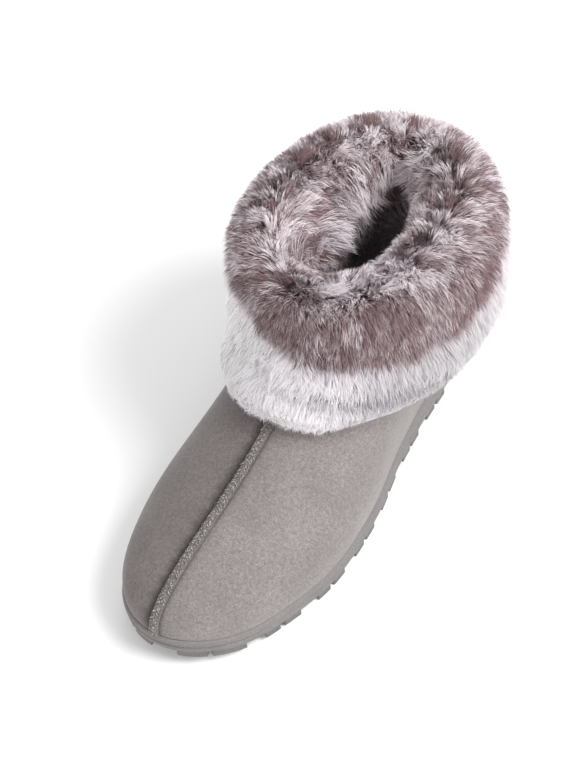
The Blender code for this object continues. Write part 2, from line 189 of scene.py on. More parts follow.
# How hair veers from its lie, by tuft, by lock and alone, and how much calmer it is outside the parting
TUFT_VEER = 0.50
TUFT_CALM = 0.36
LOCK_VEER = 0.20
LOCK_CALM = 0.08
HAIR_VEER = 0.10
LOCK_PULL = 0.50
TUFT_PULL = 0.14
VEER_REACH = 0.004
MEDIAL_LOFT = 0.95

# How brown hair is off the band, and what the lip, the flecks at the fold and the back's parting change
INNER_BROWN = 0.71
INNER_DIFFER = 0.32
WHITE_DIFFER = 0.05
LIP_TURN = 66
LIP_FROST = 0.72
FLECK_BROWN = 0.09
FLECK_DIFFER = 0.10
BACK_BROWN = 0.35

# White hair is this much lighter on the medial side, and darker on the lateral side and at that side's
# middle: painted light and shade for where the key lamp falls
WHITE_MEDIAL_PAINTED_LIGHT = 0.045
WHITE_LATERAL_PAINTED_SHADE = 0.07
WHITE_SIDE_PAINTED_SHADE = 0.33

# The photo's camera: degrees round, up and of roll, its distance, its target and how far it stands aside
PHOTO_ANGLES = (35.11, 50.4341, -6.7105)
PHOTO_DISTANCE = 0.8929
PHOTO_LENS = 85
PHOTO_TARGET = (0.0116, 0.0062, 0.05)
PHOTO_OFFSET = (-0.017, 0.0137)

# Lamps: name, place, size and power
LAMPS = (
    ("key", (1.1, 0.1, 1.3), 0.9, 28),
    ("front_fill", (0.3, -1.5, 1.1), 1.2, 7),
    ("back_rim", (-0.6, 1.3, 1.0), 1.0, 5),
)
LAMP_TARGET = (0, 0, 0.06)
SKY_STRENGTH = 0.72
FLOOR_HALF = 4.0

# Points round the fur and the upper, the sole, the insole and the CAD's insole
ROUND_POINTS = 360
SOLE_POINTS = 420
INSOLE_POINTS = 240
CAD_INSOLE_POINTS = 56
RIDGE_ROWS = 140
SEAM_SAMPLES = 1400
STEP = 1e-4


def table(names, *rows):
    """A short table, as its named columns."""
    return dict(zip(names.split(), np.array(rows, float).T))


OUTLINE = table(
    "station medial lateral",
    (0.00, 0.64, 0.60),
    (0.06, 0.63, 0.58),
    (0.16, 0.59, 0.53),
    (0.30, 0.53, 0.52),
    (0.45, 0.44, 0.48),
    (0.60, 0.37, 0.42),
    (0.75, 0.40, 0.43),
    (0.88, 0.54, 0.54),
    (1.00, 0.66, 0.66),
)

# Side of the sole: height as a share of its band above the lugs, and outset
SIDE_STEPS = table(
    "height outset",
    (0.00, -0.0016),
    (0.10, -0.0004),
    (0.42, 0.0),
    (0.50, -0.0010),
    (0.58, -0.0010),
    (0.66, 0.0002),
    (0.92, -0.0002),
    (1.00, -0.0012),
)

MERIDIANS = table(
    "round rise bulge leg lean",
    (0.00, 0.34, 0.035, 0.66, 0.10),
    (0.25, 0.30, 0.065, 0.60, 0.08),
    (0.45, 0.27, 0.055, 0.52, 0.04),
    (0.70, 0.27, 0.030, 0.42, 0.00),
    (1.00, 0.30, 0.040, 0.36, -0.04),
)

LATERAL_FUR = table(
    "round depth inside low hem",
    (0.00, 1.04, 0.32, 1.00, 1.00),
    (0.25, 1.12, 0.36, 1.00, 0.98),
    (0.45, 1.14, 0.50, 1.12, 0.87),
    (0.70, 1.04, 0.92, 1.26, 0.86),
    (1.00, 0.80, 1.10, 1.00, 0.95),
)
MEDIAL_FUR = table(
    "round depth inside low hem",
    (0.00, 1.04, 0.32, 1.00, 1.00),
    (0.25, 0.90, 0.62, 0.84, 1.00),
    (0.45, 0.82, 1.50, 0.80, 1.00),
    (0.70, 0.70, 1.60, 0.90, 1.00),
    (1.00, 0.80, 1.10, 1.00, 0.95),
)

# At each turn in degrees: where hair parts and where its brown band ends, outwards from the roll's crest,
# what share of a hair is brown there, and how much tufts differ in it
BAND = table(
    "turn parting end brown differ",
    (0, 0.013, 0.049, 0.98, 0.11),
    (30, 0.019, 0.056, 0.94, 0.18),
    (75, 0.013, 0.052, 0.98, 0.24),
    (105, 0.004, 0.047, 0.99, 0.30),
    (150, 0.000, 0.042, 0.84, 0.32),
    (180, 0.000, 0.038, 0.66, 0.32),
    (240, 0.000, 0.036, 0.78, 0.30),
    (285, 0.000, 0.037, 0.80, 0.26),
    (315, 0.006, 0.040, 0.88, 0.14),
    (345, 0.012, 0.046, 0.97, 0.10),
)

# First and last station of each edge block, by side
EDGE_LUGS = {
    1: (
        (0.006, 0.091), (0.127, 0.208), (0.250, 0.330), (0.370, 0.450), (0.490, 0.570), (0.610, 0.690),
        (0.730, 0.810), (0.850, 0.925), (0.965, 0.999),
    ),
    -1: (
        (0.001, 0.061), (0.097, 0.180), (0.222, 0.304), (0.346, 0.426), (0.468, 0.548), (0.590, 0.670),
        (0.712, 0.792), (0.834, 0.912), (0.956, 0.994),
    ),
}

# Nests of ribs: middle as shares of the sole's length and the ball's width, first rib and reach in pitches
SWIRLS = table(
    "station across first reach",
    (0.200, -0.16, 0.35, 3.2),
    (0.450, 0.12, 0.35, 3.2),
    (0.860, 0.16, 0.30, 1.2),
    (0.640, -0.42, 2.20, 8.0),
)

# The ridge's foot is sunk in the suede
SEAM_SECTION = table(
    "across height",
    (-0.90, -0.60),
    (-0.98, 0.30),
    (-0.85, 0.62),
    (-0.40, 0.93),
    (0.00, 1.00),
    (0.40, 0.93),
    (0.85, 0.62),
    (0.98, 0.30),
    (0.90, -0.60),
)

# The last two rows carry the hair on past the hem
CUFF_OUTER = table(
    "drop depth groove",
    (0.20, 1.06, 0.0),
    (0.40, 1.01, 0.0),
    (0.58, 0.94, 0.2),
    (0.72, 0.86, 1.0),
    (0.84, 0.78, 0.3),
    (0.95, 0.58, 0.0),
    (1.00, 0.34, 0.0),
    (1.10, 0.20, 0.0),
    (1.20, 0.12, 0.0),
)

CUFF_ROLL = table(
    "angle depth",
    (180, 0.68),
    (144, 0.78),
    (108, 0.92),
    (72, 1.03),
    (36, 1.08),
    (0, 1.08),
)

CUFF_INNER = table(
    "drop depth",
    (1.00, 0.16),
    (0.92, 0.36),
    (0.70, 0.48),
    (0.40, 0.57),
    (0.15, 0.64),
)


def smooth_step(value):
    value = np.clip(value, 0, 1)
    return value * value * (3 - 2 * value)


def peak(value, middle, width):
    """1 at the middle, and near 0 from two widths away."""
    return np.exp(-(((value - middle) / width) ** 2))


def resampled(values, rows, at):
    """Values on smooth curves through their rows, at other places along them."""
    shape = (-1,) + (1,) * (values.ndim - 1) if values.ndim > 1 else np.shape(at)
    slopes = np.gradient(values, rows, axis=0)
    index = np.clip(np.searchsorted(rows, at, side="right") - 1, 0, len(rows) - 2)
    span = (rows[index + 1] - rows[index]).reshape(shape)
    u = (at - rows[index]).reshape(shape) / span
    return (
        values[index] * (1 + 2 * u) * (1 - u) ** 2
        + slopes[index] * span * u * (1 - u) ** 2
        + values[index + 1] * u**2 * (3 - 2 * u)
        + slopes[index + 1] * span * u**2 * (u - 1)
    )


def along(columns, name, at, key="station"):
    return resampled(columns[name], columns[key], np.asarray(at, float))


def unit(vectors):
    return vectors / np.maximum(np.linalg.norm(vectors, axis=-1, keepdims=True), 1e-12)


def station_at(turn):
    """Share of the sole's length behind the toe."""
    return (1 - np.cos(turn)) / 2


def turn_at(station, side):
    turn = np.arccos(1 - 2 * np.asarray(station))
    return turn if side > 0 else math.tau - turn


def heel_share(station):
    """0 up to the ball of the foot, and 1 from the heel's seat on."""
    return smooth_step((station - BALL_STATION) / (HEEL_SEAT_STATION - BALL_STATION))


def axis_x(station):
    toe = np.clip(1 - station / BALL_STATION, 0, 1) ** 2
    return HEEL_SWING * heel_share(station) - TOE_SWING * toe


def outline(turn):
    station, across = station_at(turn), np.sin(turn)
    fullness = np.where(across > 0, along(OUTLINE, "lateral", station), along(OUTLINE, "medial", station))
    x = axis_x(station) + BALL_WIDTH * fullness * across
    return np.stack([x, SOLE_LENGTH * (station - 0.5)], -1)


def sole_edge(turn, outset):
    """Plan points of the sole's outline, moved outwards by outset."""
    tangent = unit(outline(turn + STEP) - outline(turn - STEP))
    outward = np.stack([tangent[..., 1], -tangent[..., 0]], -1)
    return outline(turn) + np.asarray(outset)[..., None] * outward, outward


def toe_rise(station):
    return TOE_SPRING * np.clip(1 - station / TOE_SPRING_STATION, 0, 1) ** 2


def tread_z(station):
    """Height of the lugs' feet: level but for the toe's spring, the arch and the heel's bevel."""
    heel = np.clip((station - HEEL_BEVEL_STATION) / (1 - HEEL_BEVEL_STATION), 0, 1)
    first, last = ARCH_STATIONS
    arch = np.sin(math.pi * np.clip((station - first) / (last - first), 0, 1)) ** 2
    return toe_rise(station) + HEEL_BEVEL * heel**2 + ARCH_RISE * arch


def base_z(station):
    return tread_z(station) + LUG_DEPTH


def sole_top_z(station):
    wedge = (HEEL_THICKNESS - FOREFOOT_THICKNESS) * heel_share(station)
    return toe_rise(station) + FOREFOOT_THICKNESS + wedge


def ring_turns(count=ROUND_POINTS):
    return math.tau * np.arange(count) / count


def frame_shift():
    """From the shoe's own axes to the frame, as the insole's box shows it."""
    turns = ring_turns(CAD_INSOLE_POINTS)
    plan, _ = sole_edge(turns, -INSOLE_INSET)
    low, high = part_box("insole")
    middle = (plan.min(0) + plan.max(0)) / 2
    return np.array([(low.x + high.x) / 2 - middle[0], (low.y + high.y) / 2 - middle[1], 0.0])


SHIFT = frame_shift()


def depth_inside(points):
    """How far points of the plan lie inside the sole's outline."""
    edge = outline(ring_turns(400))
    away = np.linalg.norm(points[:, None] - edge[None], axis=-1)
    nearest = away.argmin(1)
    ahead = np.roll(edge, -1, axis=0)[nearest] - np.roll(edge, 1, axis=0)[nearest]
    to_edge = edge[nearest] - points
    inside = to_edge[:, 0] * ahead[:, 1] - to_edge[:, 1] * ahead[:, 0] > 0
    return np.where(inside, away.min(1), -away.min(1))


def collar_point(turn):
    angle = turn - COLLAR_CROWDING * np.sin(turn)
    back = SOLE_LENGTH / 2 - FEATHER_INSET - HEEL_LEAN
    y = back - COLLAR_LENGTH / 2 * (1 + np.cos(angle))
    x = COLLAR_SHIFT + COLLAR_WIDTH / 2 * np.sin(angle)
    z = COLLAR_HEIGHT + COLLAR_FRONT_RISE * (1 + np.cos(angle)) / 2
    return np.stack([x, y, z], -1)


def meridian_column(name, turn, columns=MERIDIANS):
    return along(columns, name, np.abs(1 - np.abs(1 - turn / math.pi)), "round")


def fur_column(name, turn):
    lateral, medial = (meridian_column(name, turn, columns) for columns in (LATERAL_FUR, MEDIAL_FUR))
    return np.where(np.sin(turn) > 0, lateral, medial)


def upper_point(turn, rise):
    """A point of the upper's outer face: rise is 0 at the sole's edge and 1 at the collar."""
    turn, rise = np.broadcast_arrays(np.asarray(turn, float), np.asarray(rise, float))
    plan, outward = sole_edge(turn, -FEATHER_INSET)
    foot = np.concatenate([plan, (sole_top_z(station_at(turn)) + CLEARANCE)[..., None]], -1)
    top = collar_point(turn)
    level_out = np.insert(outward, 2, 0, axis=-1)
    up, back = np.array([0, 0, 1.0]), np.array([0, 1.0, 0])
    steep, leg, lean = (
        (meridian_column(name, turn) * COLLAR_HEIGHT)[..., None] for name in ("rise", "leg", "lean")
    )
    first = foot + up * steep + level_out * (meridian_column("bulge", turn) * BALL_WIDTH)[..., None]
    second = top - up * leg - back * lean
    u = rise[..., None]
    return foot * (1 - u) ** 3 + first * 3 * u * (1 - u) ** 2 + second * 3 * u**2 * (1 - u) + top * u**3


def upper_normal(turn, rise):
    turn, rise = np.broadcast_arrays(np.asarray(turn, float), np.asarray(rise, float))
    round_way = upper_point(turn + STEP, rise) - upper_point(turn - STEP, rise)
    rise_way = upper_point(turn, rise + STEP) - upper_point(turn, rise - STEP)
    return unit(np.cross(round_way, rise_way))


def wall(turns, rise, offset=0.0):
    return upper_point(turns, rise) + np.asarray(offset)[..., None] * upper_normal(turns, rise)


def hem_rise(turns):
    """Rise of the cuff's hem on each meridian, measured down from the collar."""
    rises = np.linspace(1, 0, 81)
    paths = upper_point(turns[None], rises[:, None])
    lengths = np.cumsum(np.linalg.norm(np.diff(paths, axis=0), axis=-1), axis=0)
    lengths = np.vstack([np.zeros(len(turns)), lengths])
    drops = CUFF_DROP * fur_column("hem", turns)
    return np.array([np.interp(drop, line, rises) for drop, line in zip(drops, lengths.T)])


def shaft_rise(turns, share):
    hem = hem_rise(turns)
    return hem + (1 - hem) * share


# Meshes

def grid_quads(rows, columns, closed_rows=False):
    """Quads of a grid whose columns run round; closed_rows joins the last row to the first."""
    low = np.arange(rows if closed_rows else rows - 1)[:, None]
    high = (low + 1) % rows
    i = np.arange(columns)[None, :]
    j = (i + 1) % columns
    quads = [low * columns + i, low * columns + j, high * columns + j, high * columns + i]
    return np.stack(quads, -1).reshape(-1, 4)


def new_object(name, data):
    item = bpy.data.objects.new(name, data)
    bpy.context.scene.collection.objects.link(item)
    return item


def new_piece(name, points, faces, material, slot, sharp=None, colours=None, normals=None):
    """A piece from its points and faces of one size, which rides on the body."""
    points = np.asarray(points, float).reshape(-1, 3) + SHIFT
    faces = np.asarray(faces, np.int32)
    mesh = bpy.data.meshes.new(name)
    mesh.vertices.add(len(points))
    mesh.vertices.foreach_set("co", points.astype(np.float32).ravel())
    mesh.loops.add(faces.size)
    mesh.loops.foreach_set("vertex_index", faces.ravel())
    mesh.polygons.add(len(faces))
    mesh.polygons.foreach_set("loop_start", np.arange(len(faces), dtype=np.int32) * faces.shape[1])
    mesh.update(calc_edges=True)
    mesh.validate()
    mesh.shade_smooth()
    if sharp:
        mesh.set_sharp_from_angle(angle=math.radians(sharp))
    if colours is not None:
        layer = mesh.color_attributes.new("tint", "FLOAT_COLOR", "POINT")
        shades = np.ones((len(points), 4), np.float32)
        shades[:, :3] = colours
        layer.data.foreach_set("color", shades.ravel())
    if normals is not None:
        mesh.normals_split_custom_set_from_vertices(normals.reshape(-1, 3).astype(np.float32))
    mesh.materials.append(material)
    piece = new_object(name, mesh)
    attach(piece, "root")
    return piece


# Materials

def with_inputs(node, **values):
    for key, value in values.items():
        node.inputs[key.replace("_", " ")].default_value = value
    return node


class Look:
    """A Principled material, and short ways to add its nodes."""

    def __init__(self, name, **inputs):
        self.material = bpy.data.materials.new(name)
        self.material.use_nodes = True
        self.nodes = self.material.node_tree.nodes
        self.shader = with_inputs(self.nodes["Principled BSDF"], **inputs)
        self.place = self.nodes.new("ShaderNodeTexCoord").outputs["Object"]

    def link(self, source, target):
        self.material.node_tree.links.new(source, target)

    def noise(self, scale, detail, rough):
        node = with_inputs(self.nodes.new("ShaderNodeTexNoise"), Scale=scale, Detail=detail, Roughness=rough)
        self.link(self.place, node.inputs["Vector"])
        return node.outputs["Fac"]

    def ramp(self, source, low, high, first=0.3, last=0.7):
        """Colour that goes from low to high as source goes from first to last."""
        node = self.nodes.new("ShaderNodeValToRGB")
        for element, at, colour in zip(node.color_ramp.elements, (first, last), (low, high)):
            element.position = at
            element.color = (*colour, 1.0)
        self.link(source, node.inputs["Fac"])
        return node.outputs["Color"]

    def times(self, a, b):
        node = self.nodes.new("ShaderNodeMix")
        node.data_type, node.blend_type = "RGBA", "MULTIPLY"
        with_inputs(node, Factor=1.0)
        self.link(a, node.inputs["A"])
        self.link(b, node.inputs["B"])
        return node.outputs["Result"]

    def tint(self):
        node = self.nodes.new("ShaderNodeVertexColor")
        node.layer_name = "tint"
        return node.outputs["Color"]

    def colour(self, source):
        self.link(source, self.shader.inputs["Base Color"])

    def bumps(self, *heights):
        """Bumps in a chain, each a height's source, strength and distance."""
        normal = None
        for source, strength, distance in heights:
            node = with_inputs(self.nodes.new("ShaderNodeBump"), Strength=strength, Distance=distance)
            self.link(source, node.inputs["Height"])
            if normal:
                self.link(normal, node.inputs["Normal"])
            normal = node.outputs["Normal"]
        self.link(normal, self.shader.inputs["Normal"])


def grey(value):
    return (value, value, value)


def suede_look():
    look = Look(
        "microsuede", Roughness=0.95, Specular_IOR_Level=0.15, Sheen_Weight=0.25, Sheen_Roughness=0.45
    )
    patches = look.ramp(look.noise(38, 3, 0.55), grey(0.90), grey(1.06), 0.32, 0.68)
    mottle = look.ramp(look.noise(560, 4, 0.7), grey(0.80), grey(1.15), 0.32, 0.68)
    grain = look.noise(1500, 2, 0.6)
    fibres = look.ramp(grain, (0.160, 0.143, 0.138), (0.275, 0.249, 0.243))
    look.colour(look.times(look.times(look.times(fibres, patches), mottle), look.tint()))
    look.bumps((look.noise(420, 3, 0.6), 0.25, 0.0004), (grain, 0.22, 0.0002))
    return look.material


def fleece_look():
    look = Look("fleece", Roughness=1.0, Specular_IOR_Level=0.1, Sheen_Weight=0.3, Sheen_Roughness=0.6)
    curls = look.noise(520, 4, 0.65)
    look.colour(look.ramp(curls, (0.30, 0.25, 0.26), (0.62, 0.56, 0.58)))
    look.bumps((curls, 0.9, 0.0012))
    return look.material


def rubber_look(name, low, high):
    look = Look(name, Roughness=0.66, Specular_IOR_Level=0.35)
    pebble = look.noise(1100, 2, 0.5)
    clouds = look.ramp(look.noise(60, 3, 0.6), grey(0.93), grey(1.05))
    look.colour(look.times(look.ramp(pebble, low, high), clouds))
    look.bumps((pebble, 0.35, 0.0003))
    return look.material


def thread_look():
    look = Look("thread", Roughness=0.7, Specular_IOR_Level=0.3, Sheen_Weight=0.2)
    look.colour(look.ramp(look.noise(1700, 1, 0.5), (0.080, 0.067, 0.065), (0.45, 0.398, 0.385), 0.43, 0.66))
    look.bumps((look.noise(2600, 1, 0.5), 0.5, 0.0002))
    return look.material


def skin_look():
    look = Look("fur_backing", Roughness=1.0, Specular_IOR_Level=0.05)
    look.colour(look.times(look.ramp(look.noise(700, 3, 0.6), grey(0.7), grey(1.2)), look.tint()))
    look.bumps((look.noise(900, 2, 0.6), 0.8, 0.001))
    return look.material


def hair_look():
    look = Look("fur_hair", Roughness=0.62, Specular_IOR_Level=0.25, Sheen_Weight=0.15, Sheen_Roughness=0.4)
    look.colour(look.tint())
    return look.material


# Pieces

def lofted_rows(rows, name, material, slot, closed_rows=False, caps=False, **extra):
    """A piece through rows of equally many points. Caps put a ladder of quads across both end rows."""
    rows = np.asarray(rows)
    count = rows.shape[1]
    faces = grid_quads(len(rows), count, closed_rows)
    if caps:
        last = (len(rows) - 1) * count
        i = np.arange(1, count // 2 - 1)
        ladder = np.stack([count - i, count - i - 1, i + 1, i], -1)
        tips = np.array([(0, count - 1, 1), (count // 2 - 1, count // 2 + 1, count // 2)])
        quads = np.concatenate([faces, ladder, last + ladder[:, ::-1]])
        faces = np.concatenate([triangles_of(quads), tips, last + tips[:, ::-1]])
    return new_piece(name, rows, faces, material, slot, **extra)


def triangles_of(quads):
    return np.concatenate([quads[:, [0, 1, 2]], quads[:, [0, 2, 3]]])


def joined(solids):
    """Points and faces of several solids as one."""
    firsts = np.cumsum([0] + [len(points) for points, _ in solids])
    faces = [quads + first for (_, quads), first in zip(solids, firsts)]
    return np.concatenate([points for points, _ in solids]), np.concatenate(faces)


def turned_outwards(points, faces):
    """The faces of a closed solid, in the order that makes them look outwards."""
    corners = np.moveaxis(points[triangles_of(faces)] - points.mean(0), 1, 0)
    volume = np.sum(corners[0] * np.cross(corners[1], corners[2]))
    return faces if volume > 0 else faces[:, ::-1]


def ripples(points):
    """A gentle unevenness of cloth, between -1 and 1, from a few waves across each other."""
    x, y, z = np.moveaxis(points * 1000, -1, 0)
    return (
        np.sin(x / 9.0 + 1.3 * np.sin(y / 17.0))
        + np.sin(y / 11.0 + 1.7 * np.sin(z / 13.0) + 0.8)
        + np.sin((x + y - z) / 7.0 + 2.1)
    ) / 3


def suede_tint(points, turns):
    """Shade of the upper's outer points: a darker medial side, partly nap and partly painted shade, and the
    seam's uneven painted shadow.
    """
    seam = upper_point(0.0, np.linspace(0, 1, 200))
    away = np.array([np.linalg.norm(row[:, None] - seam, axis=-1).min(1) for row in points]) - SHADOW_START
    y = points[..., 1]
    width = MEDIAL_SHADOW_WIDTH + 0.0012 * np.sin(y * 900) + 0.0008 * np.sin(y * 2300 + 1)
    medial = MEDIAL_SHADOW * (1 - smooth_step(away / width))
    lateral = LATERAL_SHADOW * np.exp(-np.maximum(away, 0) / LATERAL_SHADOW_WIDTH)
    shadow = np.where(np.sin(turns) < 0, medial, lateral)
    # The medial side's darkening is partly its nap and partly painted shade where it turns from the key lamp
    nap_and_painted_shade = smooth_step((turns - math.pi) / MEDIAL_BLEND)[:, None] * np.array(MEDIAL_NAP_AND_PAINTED_SHADE)
    return (1 - shadow)[..., None] * (1 - nap_and_painted_shade)


def make_upper(suede, fleece):
    """Outer and inner wall of the upper. Its points crowd towards the toe and the sole."""
    turns = ring_turns() - TOE_CROWDING * np.sin(ring_turns())
    hem = hem_rise(turns)
    rises = [hem * share for share in np.linspace(0, 1, VAMP_ROWS) ** VAMP_CROWDING]
    rises += [hem + (1 - hem) * share for share in (0.25, 0.5, 0.75, 1)]
    outer = []
    for rise in rises:
        unevenness = RIPPLE_HEIGHT * ripples(wall(turns, rise)) * smooth_step(rise / RIPPLE_START)
        outer.append(wall(turns, rise, unevenness))
    inner = [wall(turns, rise, -WALL) for rise in rises[::2]]
    inner[0][:, 2] = outer[0][:, 2]
    rows = np.array(outer + inner[::-1])
    tint = np.ones(rows.shape)
    tint[: len(outer)] = suede_tint(rows[: len(outer)], turns)
    quads = grid_quads(len(rows), len(turns), closed_rows=True)
    piece = new_piece("suede_upper", rows, quads, suede, "suede", sharp=60, colours=tint.reshape(-1, 3))
    piece.data.materials.append(fleece)
    lining = np.zeros(len(quads), np.int32)
    lining[len(turns) * len(outer) :] = 1
    piece.data.polygons.foreach_set("material_index", lining)
    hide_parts("upper")


def seam_frames(count):
    """Middle, outward and sideways directions of the raised seam, from the sole to the hem."""
    rise = np.linspace(0, hem_rise(np.zeros(1))[0], count)
    ahead, out = upper_point(0.0, rise + STEP) - upper_point(0.0, rise - STEP), upper_normal(0.0, rise)
    return wall(0.0, rise, CLEARANCE), out, np.cross(unit(ahead), out)


def make_ridge(suede):
    """The padded ridge down the middle of the vamp, closed at both ends."""
    middle, out, side = seam_frames(RIDGE_ROWS)
    across = SEAM_SECTION["across"] * SEAM_WIDTH / 2
    height = SEAM_SECTION["height"] * SEAM_HEIGHT * RIDGE_SHARE
    rows = middle[:, None] + side[:, None] * across[:, None] + out[:, None] * height[:, None]
    rows[0, :, 2] = np.maximum(rows[0, :, 2], middle[0, 2] - RIDGE_OVERHANG)
    count = rows.shape[1]
    last = (len(rows) - 1) * count
    k = np.arange(1, count - 1)
    fan = np.stack([0 * k, k, k + 1], -1)
    faces = np.concatenate([triangles_of(grid_quads(len(rows), count)), fan[:, [0, 2, 1]], last + fan])
    # An even painted shade over the ridge's suede
    tint = np.full((last + count, 3), RIDGE_PAINTED_SHADE)
    ridge = new_piece("seam_ridge", rows, faces, suede, "thread", sharp=70, colours=tint)
    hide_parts("centre_seam")


def make_stitches(thread):
    """Two rows of slanting stitches over the ridge, which meet at its middle."""
    middle, out, side = seam_frames(SEAM_SAMPLES)
    run = np.concatenate([[0], np.cumsum(np.linalg.norm(np.diff(middle, axis=0), axis=1))])
    flank = slice(len(SEAM_SECTION["across"]) // 2, -1)
    flank_across = SEAM_SECTION["across"][flank] * SEAM_WIDTH / 2
    flank_height = SEAM_SECTION["height"][flank]
    rng = np.random.default_rng(11)
    tubes = []
    for k in range(int(run[-1] / STITCH_PITCH) - 1):
        for way in (-1, 1):
            start = (k + 0.5 + 0.25 * (way + 1)) * STITCH_PITCH
            along_seam, sideways, thicker, longer = rng.normal(0, 1, 4) * STITCH_STRAY
            path = []
            for u in np.linspace(0, 1, 6):
                reach = u * (STITCH_PITCH * STITCH_REACH + longer)
                i = int(np.interp(start + reach + along_seam, run, np.arange(len(run))))
                across = way * (STITCH_START - STITCH_SLANT * u) * SEAM_WIDTH / 2
                height = SEAM_HEIGHT * RIDGE_SHARE * np.interp(abs(across), flank_across, flank_height)
                height += STITCH_THICKNESS * STITCH_ARCH * math.sin(math.pi * u) - STITCH_SINK
                path.append(middle[i] + side[i] * (across + sideways) + out[i] * height)
            tubes.append(tube_of(np.array(path), STITCH_THICKNESS / 2 * (1 + thicker), out[i]))
    new_piece("seam_stitches", *joined(tubes), thread, "thread", sharp=80)


def tube_of(path, radius, up):
    """A short six-sided tube along a path, drawn in and closed at both ends."""
    sides = 6
    ahead = unit(np.gradient(path, axis=0))
    across = unit(np.cross(ahead, up))
    over = np.cross(across, ahead)
    angles = ring_turns(sides)[:, None]
    taper = np.sqrt(1 - 0.93 * np.linspace(-1, 1, len(path)) ** 4)
    round_way = np.cos(angles) * across[:, None] + np.sin(angles) * over[:, None]
    rings = path[:, None] + radius * taper[:, None, None] * round_way
    points, end = rings.reshape(-1, 3), (len(path) - 1) * sides
    near, far = np.array([(3, 2, 1, 0), (5, 4, 3, 0)]), end + np.array([(0, 1, 2, 3), (0, 3, 4, 5)])
    return points, turned_outwards(points, np.concatenate([grid_quads(len(path), sides), near, far]))


def corners_cut(columns, times=2):
    """A profile's steps with their corners rounded off."""
    line = np.stack([*columns.values()], -1)
    for _ in range(times):
        near = line[:-1] * (1 - CORNER_CUT) + line[1:] * CORNER_CUT
        far = line[:-1] * CORNER_CUT + line[1:] * (1 - CORNER_CUT)
        line = np.concatenate([line[:1], np.stack([near, far], 1).reshape(-1, 2), line[-1:]])
    return line


def plan_prism(left, right, closed_rows=False):
    """A lug or rib from the foot of the tread to its root in the base, between two lines of plan points."""
    rows = []
    for a, b in zip(left, right):
        station = np.array([a[1], b[1]]) / SOLE_LENGTH + 0.5
        foot, root = tread_z(station), base_z(station) + LUG_ROOT
        rows.append([(*a, foot[0]), (*b, foot[1]), (*b, root[1]), (*a, root[0])])
    points = np.array(rows).reshape(-1, 3)
    quads = grid_quads(len(rows), 4, closed_rows)
    if not closed_rows:
        last = len(points) - 4
        quads = np.concatenate([quads, [(3, 2, 1, 0), (last, last + 1, last + 2, last + 3)]])
    return points, turned_outwards(points, quads)


def edge_lug(side, start, end):
    """A block that follows the edge, notched at the middle of its outer face and slanted at its ends."""
    first, last = turn_at(start, side), turn_at(end, side)
    turns = np.linspace(first, last, LUG_POINTS)
    middle = LUG_POINTS // 2
    here = turns[middle]
    metres = np.linalg.norm(outline(here + STEP) - outline(here - STEP))
    turn_per_metre = np.sign(last - first) * 2 * STEP / metres
    turns[middle - 1 : middle + 2] = here + turn_per_metre * LUG_NOTCH * np.array([-0.5, 0, 0.5])
    inset = np.full(LUG_POINTS, LUG_INSET)
    inset[middle] += LUG_NOTCH_DEPTH
    outer, _ = sole_edge(turns, -inset)
    slant = LUG_SLANT * turn_per_metre
    inner, _ = sole_edge(np.linspace(first + slant, last - slant, LUG_POINTS), -LUG_BAND)
    return plan_prism(outer, inner)


def swirl_ribs():
    """Ribs of each nest, kept inside the edge blocks and out of the nests before it."""
    taken = []
    for station, across, first, reach in zip(*SWIRLS.values()):
        centre = np.array([across * BALL_WIDTH, SOLE_LENGTH * (station - 0.5)])
        for start in np.arange(first, reach - RIB_WIDTH / RIB_PITCH, 1.0):
            inner, outer = start * RIB_PITCH, start * RIB_PITCH + RIB_WIDTH
            count = max(24, round(math.tau * outer / RIB_SEGMENT))
            angles = ring_turns(count)
            round_way = np.column_stack([np.cos(angles), np.sin(angles)])
            near, far = centre + inner * round_way, centre + outer * round_way
            keep = np.ones(count, bool)
            for line in (near, far):
                keep &= depth_inside(line) > LUG_BAND + RIB_MARGIN
                for other, radius in taken:
                    keep &= np.linalg.norm(line - other, axis=1) > radius
            yield from rib_runs(near, far, keep)
        taken.append((centre, reach * RIB_PITCH))


def rib_runs(near, far, keep):
    """Each run of kept points round a rib, as a prism; a rib that is kept all round closes on itself."""
    count = len(keep)
    if keep.all():
        yield plan_prism(near, far, closed_rows=True)
        return
    first = int(np.argmin(keep))
    run = []
    for step in range(1, count + 1):
        index = (first + step) % count
        if keep[index]:
            run.append(index)
            continue
        if len(run) > 2:
            yield plan_prism(near[run], far[run])
        run = []


def make_sole(side_rubber, tread_rubber):
    turns = ring_turns(SOLE_POINTS)
    station = station_at(turns)
    low, high = base_z(station), sole_top_z(station)
    rows = []
    for share, outset in corners_cut(SIDE_STEPS):
        plan, _ = sole_edge(turns, outset)
        rows.append(np.column_stack([plan, low + share * (high - low)]))
    sole = lofted_rows(rows, "sole_side", side_rubber, "rubber", caps=True, sharp=50)
    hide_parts("outsole")
    lugs = [edge_lug(side, *ends) for side in EDGE_LUGS for ends in EDGE_LUGS[side]]
    tread = new_piece("sole_tread", *joined(lugs + list(swirl_ribs())), tread_rubber, "rubber", sharp=40)
    rounding = tread.modifiers.new("rounding", "BEVEL")
    rounding.width = LUG_ROUNDING
    rounding.segments = 2
    rounding.limit_method = "ANGLE"
    rounding.angle_limit = math.radians(40)


def make_insole(fleece):
    turns = ring_turns(INSOLE_POINTS)
    floor = sole_top_z(station_at(turns)) + CLEARANCE
    rows = []
    for height, inwards in ((0, 0), (0.7, 0), (0.9, 0.25), (1, 1)):
        plan, _ = sole_edge(turns, -INSOLE_INSET - INSOLE_ROUND * inwards)
        rows.append(np.column_stack([plan, floor + height * INSOLE_THICKNESS]))
    insole = lofted_rows(rows, "fleece_insole", fleece, "fleece", caps=True, sharp=50)
    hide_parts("insole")


# Fur

